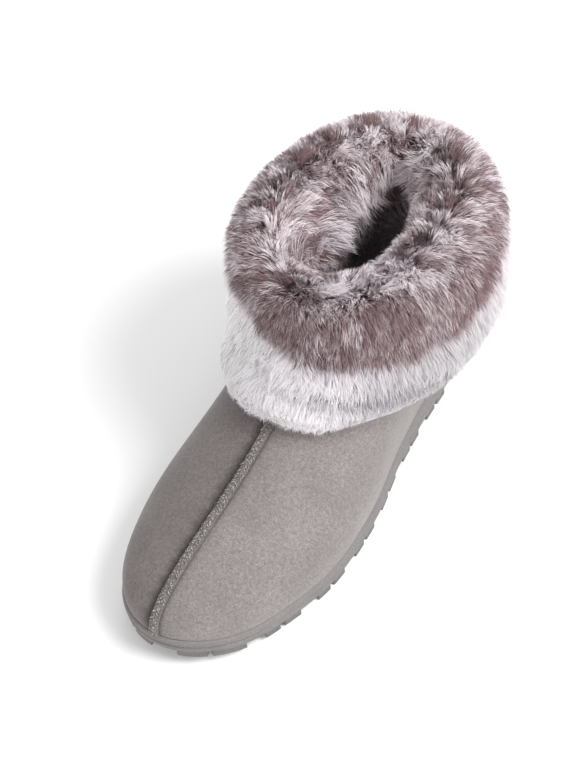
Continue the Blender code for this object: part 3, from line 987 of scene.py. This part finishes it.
def fur_rows(turns, share):
    """Rows over the fur at a share of its depth, from the lining's end over the roll and past the hem."""
    depth = FUR_DEPTH * fur_column("depth", turns) * share
    inside, low = fur_column("inside", turns) - 1, fur_column("low", turns) - 1
    lateral = smooth_step(0.5 + np.sin(turns))
    lining = CUFF_LINING_DROP / CUFF_DROP
    rows = [
        wall(turns, shaft_rise(turns, 1 - drop * lining), -WALL - CLEARANCE - deep * depth * (1 + inside))
        for drop, deep in zip(CUFF_INNER["drop"], CUFF_INNER["depth"])
    ]
    middle, out = wall(turns, 1.0, -WALL / 2), upper_normal(turns, 1.0)
    for angle, deep in zip(np.radians(CUFF_ROLL["angle"]), CUFF_ROLL["depth"]):
        inwards = (1 - math.cos(angle)) / 2
        reach = (WALL / 2 + CLEARANCE + deep * depth * (1 + inwards * inside))[:, None]
        rows.append(middle + reach * (math.cos(angle) * out + math.sin(angle) * np.array([0, 0, 1.0])))
    for drop, deep, groove in zip(*CUFF_OUTER.values()):
        lower = smooth_step(drop / LOW_DROP)
        offset = CLEARANCE + deep * depth * (1 + lower * low) - groove * FOLD_GROOVE * lateral
        rows.append(wall(turns, shaft_rise(turns, 1 - drop), offset))
    return np.array(rows)


class Pelt:
    """The fur's skin and its outer surface over one grid: run is metres over the roll, turn goes round."""

    def __init__(self):
        turns = ring_turns()
        skin, crown = fur_rows(turns, SKIN_SHARE), fur_rows(turns, 1.0)
        steps = np.linalg.norm(np.diff(crown, axis=0), axis=-1).mean(1)
        marks = np.concatenate([[0], np.cumsum(steps)])
        roll = len(CUFF_INNER["drop"])
        outer = roll + len(CUFF_ROLL["angle"])
        drop = CUFF_OUTER["drop"]
        self.crest = (marks[roll + 2] + marks[roll + 3]) / 2
        self.roll_end = marks[outer - 1]
        self.hem = np.interp(1.0, drop, marks[outer:])
        self.groove = np.interp(drop[CUFF_OUTER["groove"].argmax()], drop, marks[outer:])
        self.places = np.linspace(0, marks[-1], PELT_ROWS)
        self.skin, self.crown = resampled(skin, marks, self.places), resampled(crown, marks, self.places)
        down = np.gradient(self.crown, self.places, axis=0)
        ahead, behind = np.roll(self.crown, -1, axis=1), np.roll(self.crown, 1, axis=1)
        self.out = unit(np.cross(down, ahead - behind))
        self.round = np.linalg.norm(ahead - behind, axis=-1) * ROUND_POINTS / (4 * math.pi)

    def cells(self):
        """Weight of each cell from the lining to the hem: its area, and more where hair parts."""
        down = np.diff(self.crown, axis=0)
        across = np.roll(self.crown, -1, axis=1) - self.crown
        area = np.linalg.norm(np.cross(down, across[:-1]), axis=-1)
        turn, over = ring_turns()[None], self.places[1:, None] - self.crest
        parting = peak(over, band_column("parting", turn), PARTING_WIDTH)
        to_turn = turned(turn - WHORL_TURN) * self.round[1:]
        whorl = peak(np.hypot(over - WHORL_OVER, to_turn), 0, PARTING_WIDTH)
        crowded = 1 + PARTING_CROWDING * parting + WHORL_CROWDING * whorl
        return area * crowded * (self.places[1:] < self.hem)[:, None]

    def scatter(self, rng, number):
        """Run and turn of points strewn over the pelt."""
        area = self.cells().ravel()
        picked = np.searchsorted(np.cumsum(area) / area.sum(), rng.random(number))
        row, column = np.divmod(np.minimum(picked, area.size - 1), ROUND_POINTS)
        run = (row + rng.random(number)) * self.places[1]
        return run, (column + rng.random(number)) * math.tau / ROUND_POINTS

    def mixed(self, grid, run, turn):
        """Values of a grid over the pelt, between its points."""
        row = np.clip(run / self.places[1], 0, PELT_ROWS - 1.001)
        column = np.mod(turn, math.tau) * ROUND_POINTS / math.tau
        i, j = row.astype(int), column.astype(int) % ROUND_POINTS
        u, v = row - i, column - np.floor(column)
        if grid.ndim == 3:
            u, v = u[..., None], v[..., None]
        k = (j + 1) % ROUND_POINTS
        return (
            grid[i, j] * (1 - u) * (1 - v)
            + grid[i + 1, j] * u * (1 - v)
            + grid[i, k] * (1 - u) * v
            + grid[i + 1, k] * u * v
        )

    def at(self, run, turn, share):
        """Points at a share of the way from the skin to the outer surface."""
        share = share[..., None]
        return self.mixed(self.skin, run, turn) * (1 - share) + self.mixed(self.crown, run, turn) * share


def turned(angle):
    """An angle brought between minus pi and pi."""
    return np.mod(angle + math.pi, math.tau) - math.pi


def band_column(name, turn):
    return np.interp(turn, np.radians(BAND["turn"]), BAND[name], period=math.tau)


def lean_of(pelt, run, turn):
    """How the hair lies: over the roll towards the hem, and round the cuff."""
    over = run - pelt.crest
    outwards = np.tanh((over - band_column("parting", turn)) / PARTING_BLEND)
    low = smooth_step((run - pelt.roll_end + 0.012) / 0.030)
    to_run, to_turn = over - WHORL_OVER, turned(turn - WHORL_TURN) * pelt.mixed(pelt.round, run, turn)
    away = np.hypot(np.hypot(to_run, to_turn), WHORL_HEART)
    whorl = peak(away, 0, WHORL_SIZE)
    down = outwards * (HAIR_LEAN + LOW_LEAN * low) * (1 - whorl) + WHORL_LEAN[0] * whorl * to_run / away
    around = WHORL_LEAN[1] * whorl * to_turn / away + BACK_LEAN * back_parting(pelt, run, turn)[0]
    return down, around


def back_parting(pelt, run, turn):
    """The pelt's ends meet at the back: which way hair parts there, and how near that seam it grows."""
    back = turned(turn - math.pi) * pelt.mixed(pelt.round, run, turn)
    inner = smooth_step((pelt.crest + 0.014 - run) / 0.010)
    return inner * np.exp(-np.abs(back) / 0.007) * np.sign(back), inner * peak(back, 0, 0.0035)


def frost_of(pelt, run, turn):
    """What share of a hair is brown, from its root, how much tufts differ in it, and how white hair is."""
    over = run - pelt.crest
    band = smooth_step((over - band_column("parting", turn) + 0.003) / 0.010)
    white = smooth_step((over - band_column("end", turn) + 0.006) / 0.012)
    deep = smooth_step((-over - 0.020) / 0.020)
    brown = INNER_BROWN + (band_column("brown", turn) - INNER_BROWN) * band
    brown = brown * (1 - white) - 0.10 * white - 0.10 * deep
    differ = INNER_DIFFER + (band_column("differ", turn) - INNER_DIFFER) * band
    differ = differ * (1 - white) + WHITE_DIFFER * white
    fleck = smooth_step((np.sin(turn) - 0.35) / 0.5) * peak(run, pelt.groove + 0.005, 0.005)
    lip = peak(turned(turn - math.radians(LIP_TURN)), 0, 0.85) * peak(over, 0.010, 0.008)
    brown = brown + FLECK_BROWN * fleck - LIP_FROST * lip + BACK_BROWN * back_parting(pelt, run, turn)[1]
    return brown, differ + FLECK_DIFFER * fleck, white


class Clumps:
    """Tufts or locks: where they stand, and which of them each hair belongs to."""

    def __init__(self, pelt, rng, count, roots):
        self.count = count
        self.run, self.turn = pelt.scatter(rng, count)
        tree = KDTree(count)
        for i, place in enumerate(pelt.at(self.run, self.turn, np.ones(count))):
            tree.insert(place, i)
        tree.balance()
        self.own = np.fromiter((tree.find(root)[1] for root in roots), np.int64, len(roots))

    def drawn(self, rng, spread, *columns):
        """Random numbers that all hairs of a clump share."""
        return rng.normal(0, spread, (self.count, *columns))[self.own]


def laid(pelt, rng, run, turn, tufts, locks, calm, white):
    """How far each hair's tip lies from its root, in metres over the roll and in turn."""
    down, around = lean_of(pelt, run, turn)
    veer = tufts.drawn(rng, 1, 2) * (TUFT_VEER - TUFT_CALM * calm)[:, None]
    veer += locks.drawn(rng, 1, 2) * (LOCK_VEER - LOCK_CALM * calm)[:, None]
    veer += rng.normal(0, HAIR_VEER, veer.shape)
    reach = np.hypot(down, around) + VEER_REACH
    down = down + veer[:, 0] * reach * 0.7
    by_turn = (around + veer[:, 1] * reach) / pelt.mixed(pelt.round, run, turn)
    for clumps, pull in ((locks, LOCK_PULL * (1 - 0.5 * white)), (tufts, TUFT_PULL * (1 - calm))):
        down = down + pull * (clumps.run[clumps.own] - run)
        by_turn = by_turn + pull * turned(clumps.turn[clumps.own] - turn)
    end = rng.uniform(*HEM_HAIR, locks.count)[locks.own] + rng.uniform(-HEM_STRAY, HEM_STRAY, len(run))
    return np.minimum(down, pelt.hem + end - run), by_turn


def heights(pelt, rng, run, turn, tufts, locks, calm, tall):
    """How high hairs stand, as shares of the way from the skin to the outer surface."""
    height = tall * (1 + tufts.drawn(rng, 0.06) * (1 - 0.7 * calm) + rng.normal(0, 0.04, len(run)))
    height += locks.drawn(rng, 0.05) * (1 - 0.4 * calm)
    height *= 1 - 0.5 * back_parting(pelt, run, turn)[1]
    inside = smooth_step((pelt.crest - 0.006 - run) / 0.024)
    return height * (1 + MEDIAL_LOFT * inside * smooth_step((-np.sin(turn) - 0.1) / 0.6))


def hair_colours(pelt, rng, run, turn, locks, brown, white, shade, u):
    """Colours along each hair, u of the way to its tip: a brown root and a frosted tip, or all white."""
    white = white[:, None, None]
    across = np.sin(turn)
    # Painted light and shade on white hair: lighter on the medial side, darker on the lateral side where the
    # key lamp falls
    lit = 1 + WHITE_MEDIAL_PAINTED_LIGHT * smooth_step(-across) - WHITE_LATERAL_PAINTED_SHADE * smooth_step(across)
    lit -= WHITE_SIDE_PAINTED_SHADE * smooth_step((across - 0.6) / 0.4)
    light = np.array(HAIR_WHITE) * lit[:, None, None] * white + np.array(HAIR_FROST) * (1 - white)
    tone_and_painted_shade = 1 + rng.normal(0, 0.06, len(run)) + locks.drawn(rng, 0.05)
    # Hair deep inside the shaft is darker: painted shade, on top of the random tone of each hair and lock
    tone_and_painted_shade *= 1 - 0.25 * smooth_step((pelt.crest - 0.025 - run) / 0.020)
    frost = smooth_step((u - brown[:, None] + 0.06) / 0.20)[..., None]
    colours = (np.array(HAIR_BROWN) * shade * (1 - frost) + light * frost) * tone_and_painted_shade[:, None, None]
    return np.clip(colours, 0, 0.95)


def grow(pelt, rng, number, tall, width, shade, segments):
    """Hair over the pelt: where it grows, its lines of points, their sides, normals, widths and colours."""
    run, turn = pelt.scatter(rng, number)
    roots = pelt.at(run, turn, np.ones(number))
    tufts, locks = Clumps(pelt, rng, TUFTS, roots), Clumps(pelt, rng, LOCKS, roots)
    brown, differ, white = frost_of(pelt, run, turn)
    calm = smooth_step((run - pelt.crest - band_column("parting", turn)) / PARTING_WIDTH)
    down, by_turn = laid(pelt, rng, run, turn, tufts, locks, calm, white)
    height = heights(pelt, rng, run, turn, tufts, locks, calm, tall)
    mixed = 1 - 0.6 * white
    brown = brown + tufts.drawn(rng, 1) * differ + locks.drawn(rng, 0.09) * mixed
    brown = np.clip(brown + rng.normal(0, 0.09, number) * mixed, -0.15, 1.0)

    u = np.linspace(0, 1, segments + 1) ** 0.85
    rise = height[:, None] * (1 - (1 - u) ** 1.8)
    slide = u**1.5
    points = pelt.at(run[:, None] + down[:, None] * slide, turn[:, None] + by_turn[:, None] * slide, rise)
    out = pelt.mixed(pelt.out, run, turn)[:, None]
    ahead = unit(np.gradient(points, axis=1))
    side = unit(np.cross(ahead, out))
    twist = rng.uniform(-0.9, 0.9, number)[:, None, None]
    side = side * np.cos(twist) + np.cross(ahead, side) * np.sin(twist)
    normals = unit(0.75 * out + 0.45 * unit(np.cross(side, ahead)))
    colours = hair_colours(pelt, rng, run, turn, locks, brown, white, shade, u)
    return run, points, side, normals, width * (1 - u**2.2 * 0.7), colours


def ribbon_piece(name, lines, keep, material):
    """Some of the hairs as one piece of ribbons, each tapered to a point."""
    _, points, side, normals, widths, colours = lines
    points, side, normals, colours = points[keep], side[keep], normals[keep], colours[keep]
    half = side * (widths / 2)[:, None]
    left, right = points - half, points + half
    last = points.shape[1] - 1
    verts = np.stack([left[:, :last], right[:, :last]], 2).reshape(len(points), 2 * last, 3)
    verts = np.concatenate([verts, points[:, last:]], 1)
    colours, normals = (
        np.concatenate([np.repeat(values[:, :last], 2, axis=1), values[:, last:]], 1)
        for values in (colours, normals)
    )
    ribbon = []
    for a in range(0, 2 * last - 2, 2):
        ribbon += [(a, a + 1, a + 3), (a, a + 3, a + 2)]
    ribbon.append((2 * last - 2, 2 * last - 1, 2 * last))
    faces = (np.array(ribbon) + (np.arange(len(points)) * verts.shape[1])[:, None, None]).reshape(-1, 3)
    new_piece(name, verts, faces, material, "fur", colours=colours.reshape(-1, 3), normals=normals)


def make_backing(pelt, material):
    """The cuff under its hair: its seat on the shaft and the collar, and the fur's skin over that."""
    turns = ring_turns()[::2]
    over = np.array([0, 0, CLEARANCE])
    seat = [wall(turns, shaft_rise(turns, share), CLEARANCE) for share in (0.04, 0.35, 0.7)]
    seat += [wall(turns, 1.0, offset) + over for offset in (CLEARANCE, -WALL - CLEARANCE)]
    seat.append(wall(turns, shaft_rise(turns, 1 - CUFF_LINING_DROP / CUFF_DROP), -WALL - CLEARANCE))
    shown = pelt.places <= pelt.hem
    rows = np.concatenate([np.array(seat), pelt.skin[shown][::3, ::2]])[::-1]
    runs = np.concatenate([np.full(len(seat), pelt.hem), pelt.places[shown][::3]])[::-1]
    white = frost_of(pelt, *np.meshgrid(runs, turns, indexing="ij"))[2][..., None]
    tint = (np.array(BACKING_BROWN) * (1 - white) + np.array(BACKING_PALE) * white).reshape(-1, 3)
    skin = lofted_rows(rows, "fur_backing", material, "fur", closed_rows=True, sharp=60, colours=tint)
    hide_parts("fur_cuff")


def make_fur(skin_material, hair_material):
    pelt = Pelt()
    make_backing(pelt, skin_material)
    thin = 1.0
    rng = np.random.default_rng(5)
    for name, number, tall, width, shade, segments, split in COATS:
        width *= HAIR_WIDTH / math.sqrt(thin)
        lines = grow(pelt, rng, int(number * thin), tall, width, shade, segments)
        for k, part in enumerate(np.array_split(np.argsort(lines[0], kind="stable"), split), 1):
            ribbon_piece(f"{name}_{k}", lines, part, hair_material)


# Floor, light and camera

def make_floor():
    look = Look("pale_floor", Base_Color=(0.93, 0.93, 0.93, 1.0), Roughness=0.9, Specular_IOR_Level=0.1)
    mesh = bpy.data.meshes.new("floor")
    corners = [(x * FLOOR_HALF, y * FLOOR_HALF, 0) for x, y in ((-1, -1), (1, -1), (1, 1), (-1, 1))]
    mesh.from_pydata(corners, [], [(0, 1, 2, 3)])
    mesh.materials.append(look.material)
    floor = new_object("floor", mesh)
    floor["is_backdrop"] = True


def make_lamp(name, place, size, power):
    light = bpy.data.lights.new(name, "AREA")
    light.shape, light.size, light.energy = "DISK", size, power
    lamp = new_object(name, light)
    lamp.location = place
    lamp.rotation_euler = (Vector(LAMP_TARGET) - Vector(place)).to_track_quat("-Z", "Y").to_euler()


def make_studio():
    world = bpy.data.worlds.new("studio")
    world.use_nodes = True
    with_inputs(world.node_tree.nodes["Background"], Color=(1.0, 1.0, 1.0, 1.0), Strength=SKY_STRENGTH)
    bpy.context.scene.world = world
    for lamp in LAMPS:
        make_lamp(*lamp)
    bpy.context.scene.view_settings.view_transform = "Standard"


def photo_camera():
    """The photo's view: the angles, the roll and the distance that its outline gives."""
    azimuth, elevation, roll = (math.radians(angle) for angle in PHOTO_ANGLES)
    level = math.cos(elevation)
    back = Vector((math.sin(azimuth) * level, -math.cos(azimuth) * level, math.sin(elevation)))
    right = Vector((math.cos(azimuth), math.sin(azimuth), 0))
    up = back.cross(right)
    cosine, sine = math.cos(roll), math.sin(roll)
    right, up = cosine * right + sine * up, cosine * up - sine * right
    aside, above = PHOTO_OFFSET
    eye = Vector(PHOTO_TARGET) + back * PHOTO_DISTANCE + right * aside + up * above
    data = bpy.data.cameras.new("photo_view")
    data.lens = PHOTO_LENS
    data.sensor_width = 36
    pose = Matrix((right, up, back)).transposed().to_4x4()
    pose.translation = eye + Vector(SHIFT)
    camera = new_object("photo_view", data)
    camera.matrix_world = pose
    bpy.context.scene.camera = camera


def main():
    suede, fleece = suede_look(), fleece_look()
    make_upper(suede, fleece)
    make_ridge(suede)
    make_stitches(thread_look())
    # Side and tread are one rubber: the side's copy is lighter than the tread's, painted light and shade for
    # how each faces the light
    side = rubber_look("rubber_side", (0.160, 0.147, 0.146), (0.212, 0.197, 0.195))
    tread = rubber_look("rubber_tread", (0.125, 0.117, 0.118), (0.175, 0.165, 0.165))
    make_sole(side, tread)
    make_insole(fleece)
    make_fur(skin_look(), hair_look())
    make_floor()
    make_studio()
    photo_camera()
    boxes = {"cad": CAD_BOX, "visual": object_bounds()}
    {name: [list(corner) for corner in box] for name, box in boxes.items()}


main()
